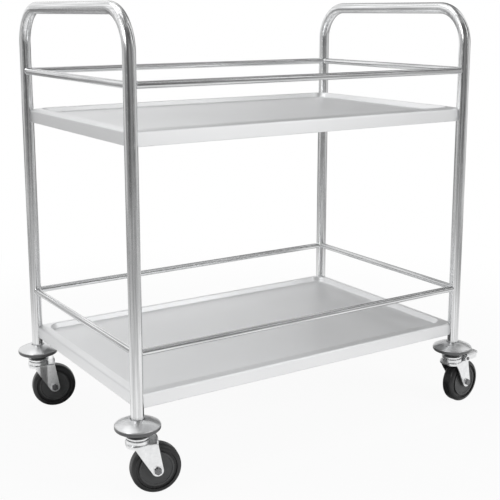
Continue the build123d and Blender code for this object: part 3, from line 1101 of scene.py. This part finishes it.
def from_middle(tree):
    """Level distance from the middle of the studio."""
    place = tree.nodes.new("ShaderNodeTexCoord")
    level = tree.nodes.new("ShaderNodeVectorMath")
    level.operation = "MULTIPLY"
    level.inputs[1].default_value = (1, 1, 0)
    distance = tree.nodes.new("ShaderNodeVectorMath")
    distance.operation = "LENGTH"
    tree.links.new(place.outputs["Object"], level.inputs[0])
    tree.links.new(level.outputs["Vector"], distance.inputs[0])
    return distance.outputs["Value"]


def add_floor(near_white):
    """Pale floor that keeps the shadow and runs out to white."""
    bm = bmesh.new()
    bmesh.ops.create_grid(bm, x_segments=1, y_segments=1, size=floor_side / 2)
    tree = add_stage(bm, "studio_floor").active_material.node_tree
    shader = tree.nodes["Principled BSDF"]
    shader.inputs["Base Color"].default_value = (floor_grey, floor_grey, floor_grey, 1)
    shader.inputs["Roughness"].default_value = floor_roughness
    spread = tree.nodes.new("ShaderNodeMapRange")
    spread.interpolation_type = "SMOOTHSTEP"
    spread.inputs["From Min"].default_value = floor_shade_reach
    spread.inputs["From Max"].default_value = floor_white_reach
    spread.inputs["To Min"].default_value = near_white
    amount = tree.nodes.new("ShaderNodeMath")
    amount.operation = "MULTIPLY"
    white = tree.nodes.new("ShaderNodeEmission")
    keep_shadow = tree.nodes.new("ShaderNodeMixShader")
    tree.links.new(from_middle(tree), spread.inputs["Value"])
    tree.links.new(shown(tree), amount.inputs[0])
    tree.links.new(spread.outputs["Result"], amount.inputs[1])
    tree.links.new(amount.outputs["Value"], keep_shadow.inputs["Fac"])
    tree.links.new(shader.outputs["BSDF"], keep_shadow.inputs[1])
    tree.links.new(white.outputs["Emission"], keep_shadow.inputs[2])
    tree.links.new(keep_shadow.outputs["Shader"], tree.nodes["Material Output"].inputs["Surface"])


def add_painted_reflection(bm, name):
    """Glowing grey sheet of the studio that only the metal shows: a painted reflection."""
    stage = add_stage(bm, name)
    stage.visible_camera = False
    stage.visible_diffuse = False
    stage.visible_shadow = False
    tree = stage.active_material.node_tree
    tree.nodes.remove(tree.nodes["Principled BSDF"])
    glow = tree.nodes.new("ShaderNodeEmission")
    tree.links.new(glow.outputs["Emission"], tree.nodes["Material Output"].inputs["Surface"])
    return tree, glow


def ramp_along(tree, source, levels):
    """Greys of a painted reflection at places along a measure."""
    first = min(levels)
    last = max(levels)
    share = tree.nodes.new("ShaderNodeMapRange")
    share.inputs["From Min"].default_value = first
    share.inputs["From Max"].default_value = last
    shade = tree.nodes.new("ShaderNodeValToRGB")
    stops = shade.color_ramp.elements
    while len(stops) < len(levels):
        stops.new(1.0)
    for stop, (at, level) in zip(stops, levels.items()):
        stop.position = (at - first) / (last - first)
        stop.color = (level, level, level, 1)
    tree.links.new(source, share.inputs["Value"])
    tree.links.new(share.outputs["Result"], shade.inputs["Fac"])
    return shade.outputs["Color"]


def add_shade(name, height, half_length, half_depth, fade, level):
    """Level sheet under the trolley that only the metal shows: a painted shadow that clears towards its
    edges.
    """
    bm = bmesh.new()
    bmesh.ops.create_grid(bm, x_segments=1, y_segments=1, size=1)
    bmesh.ops.scale(bm, vec=(half_length + fade, half_depth + fade, 1), verts=bm.verts)
    bmesh.ops.translate(bm, vec=(0, 0, height), verts=bm.verts)
    tree, glow = add_painted_reflection(bm, name)
    place = tree.nodes.new("ShaderNodeTexCoord")
    size = tree.nodes.new("ShaderNodeVectorMath")
    size.operation = "ABSOLUTE"
    past = tree.nodes.new("ShaderNodeVectorMath")
    past.operation = "SUBTRACT"
    past.inputs[1].default_value = (half_length, half_depth, 0)
    parts = tree.nodes.new("ShaderNodeSeparateXYZ")
    farthest = tree.nodes.new("ShaderNodeMath")
    farthest.operation = "MAXIMUM"
    tree.links.new(place.outputs["Object"], size.inputs[0])
    tree.links.new(size.outputs["Vector"], past.inputs[0])
    tree.links.new(past.outputs["Vector"], parts.inputs["Vector"])
    tree.links.new(parts.outputs["X"], farthest.inputs[0])
    tree.links.new(parts.outputs["Y"], farthest.inputs[1])
    shade = ramp_along(tree, farthest.outputs["Value"], {0: level, fade: 1})
    tree.links.new(shade, glow.inputs["Color"])


def add_ring(name, height, levels):
    """Level ring round the middle of the studio that glows as a painted reflection. Levels gives its grey by
    the distance.
    """
    bm = bmesh.new()
    near = min(levels)
    edges = ring(bm, turning_steps, near, Matrix.Translation((0, 0, height)))
    outer_edges = pull(bm, edges, (0, 0, 0))
    outer = list({vert for edge in outer_edges for vert in edge.verts})
    stretch = max(levels) / near
    bmesh.ops.scale(bm, vec=(stretch, stretch, 1), verts=outer)
    tree, glow = add_painted_reflection(bm, name)
    tree.links.new(ramp_along(tree, from_middle(tree), levels), glow.inputs["Color"])


def add_screen(name, low, high, fades, levels):
    """Screen on an arc round the studio that glows as a painted reflection. Levels gives its grey by the
    angle from the front in degrees, and fades the heights over which it clears at its foot and its head."""
    turns = {radians(angle): level for angle, level in levels.items()}
    first = min(turns)
    bm = bmesh.new()
    foot = bm.verts.new((0, -screen_radius, low))
    head = bm.verts.new((0, -screen_radius, high))
    edge = bm.edges.new((foot, head))
    bmesh.ops.rotate(bm, cent=(0, 0, 0), matrix=Matrix.Rotation(first, 3, "Z"), verts=[foot, head])
    bmesh.ops.spin(
        bm,
        geom=[foot, head, edge],
        cent=(0, 0, 0),
        axis=(0, 0, 1),
        angle=max(turns) - first,
        steps=screen_steps,
        use_merge=False,
    )
    tree, glow = add_painted_reflection(bm, name)
    place = tree.nodes.new("ShaderNodeTexCoord")
    parts = tree.nodes.new("ShaderNodeSeparateXYZ")
    forward = tree.nodes.new("ShaderNodeMath")
    forward.operation = "MULTIPLY"
    forward.inputs[1].default_value = -1
    around = tree.nodes.new("ShaderNodeMath")
    around.operation = "ARCTAN2"
    tree.links.new(place.outputs["Object"], parts.inputs["Vector"])
    tree.links.new(parts.outputs["Y"], forward.inputs[0])
    tree.links.new(parts.outputs["X"], around.inputs[0])
    tree.links.new(forward.outputs["Value"], around.inputs[1])
    shade = ramp_along(tree, around.outputs["Value"], turns)
    fade = ramp_along(tree, parts.outputs["Z"], {low: 0, low + fades[0]: 1, high - fades[1]: 1, high: 0})
    tone = tree.nodes.new("ShaderNodeMix")
    tone.inputs["A"].default_value = 1
    tree.links.new(fade, tone.inputs["Factor"])
    tree.links.new(shade, tone.inputs["B"])
    tree.links.new(tone.outputs["Result"], glow.inputs["Color"])


def add_lamp(name, place, aim, side, power):
    """Soft square lamp."""
    data = bpy.data.lights.new(name, "AREA")
    data.size = side
    data.energy = power
    lamp = bpy.data.objects.new(name, data)
    lamp.location = place
    lamp.rotation_euler = (Vector(aim) - Vector(place)).to_track_quat("-Z", "Y").to_euler()
    bpy.context.scene.collection.objects.link(lamp)


add_camera()
add_world(soft_light=0.42)
add_floor(near_white=0.94)
# Painted shadow under the trolley, for the metal to reflect
add_shade("under_shade", reflection_sheet_height, half_length=0.40, half_depth=0.25, fade=0.08, level=0.05)
# The rings and screens below glow and show only in metal: painted reflections
add_ring(
    "floor_ring",
    height=reflection_sheet_height,
    levels={0.75: 1, 1.1: 0.85, 1.4: 0.62, 1.9: 0.42, 2.4: 0.34, 4.0: 0.22, 9.0: 0.3},
)
add_ring("ceiling_ring", height=4.2, levels={0.05: 0.25, 1.5: 0.25, 2.0: 0.42, 2.6: 0.42})
add_screen(
    "left_screen",
    low=0.05,
    high=1.35,
    fades=(0.1, 0.3),
    levels={-150: 0.45, -138: 0.52, -125: 0.68, -108: 0.55, -90: 0.34, -73: 0.19, -60: 0.15},
)
add_screen(
    "front_screen",
    low=0.05,
    high=1.5,
    fades=(0.1, 0.01),
    levels={
        -60: 0.15,
        -44: 0.07,
        -36: 0.2,
        -29: 0.32,
        -18: 0.24,
        -2: 0.21,
        8: 0.1,
        16: 0.07,
        27: 0.25,
        42: 0.42,
    },
)
add_screen(
    "front_canopy",
    low=1.5,
    high=4.2,
    fades=(0.01, 0.2),
    levels={-60: 0.6, -52: 0.14, 26: 0.14, 31: 0.85, 42: 0.85},
)
add_screen(
    "right_screen",
    low=0.05,
    high=1.35,
    fades=(0.1, 0.01),
    levels={42: 0.42, 69: 0.8, 88: 0.55, 100: 0.5},
)
add_screen(
    "right_panel",
    low=1.35,
    high=4.2,
    fades=(0.01, 0.2),
    levels={42: 0.85, 47: 0.14, 66: 0.1, 78: 1},
)
add_screen(
    "back_right_screen",
    low=0.5,
    high=1.4,
    fades=(0.2, 0.05),
    levels={100: 0.15, 118: 0.12, 132: 0.32, 146: 1, 160: 1, 179: 1},
)
add_screen(
    "back_right_panel",
    low=1.4,
    high=4.1,
    fades=(0.6, 0.6),
    levels={100: 0.1, 118: 0.1, 132: 0.14, 146: 0.52, 160: 0.78, 179: 0.9},
)
add_lamp("ceiling_lamp", place=(-0.6, 0.6, 3.0), aim=(-0.3, 0.3, 0.4), side=2.0, power=14)
add_lamp("left_lamp", place=(-2.95, -0.65, 2.0), aim=(0, 0, 0.5), side=1.2, power=18)
add_lamp("front_lamp", place=(1.2, -2.6, 1.7), aim=(0, 0, 0.5), side=1.2, power=36)

bpy.context.scene.view_settings.view_transform = "Standard"
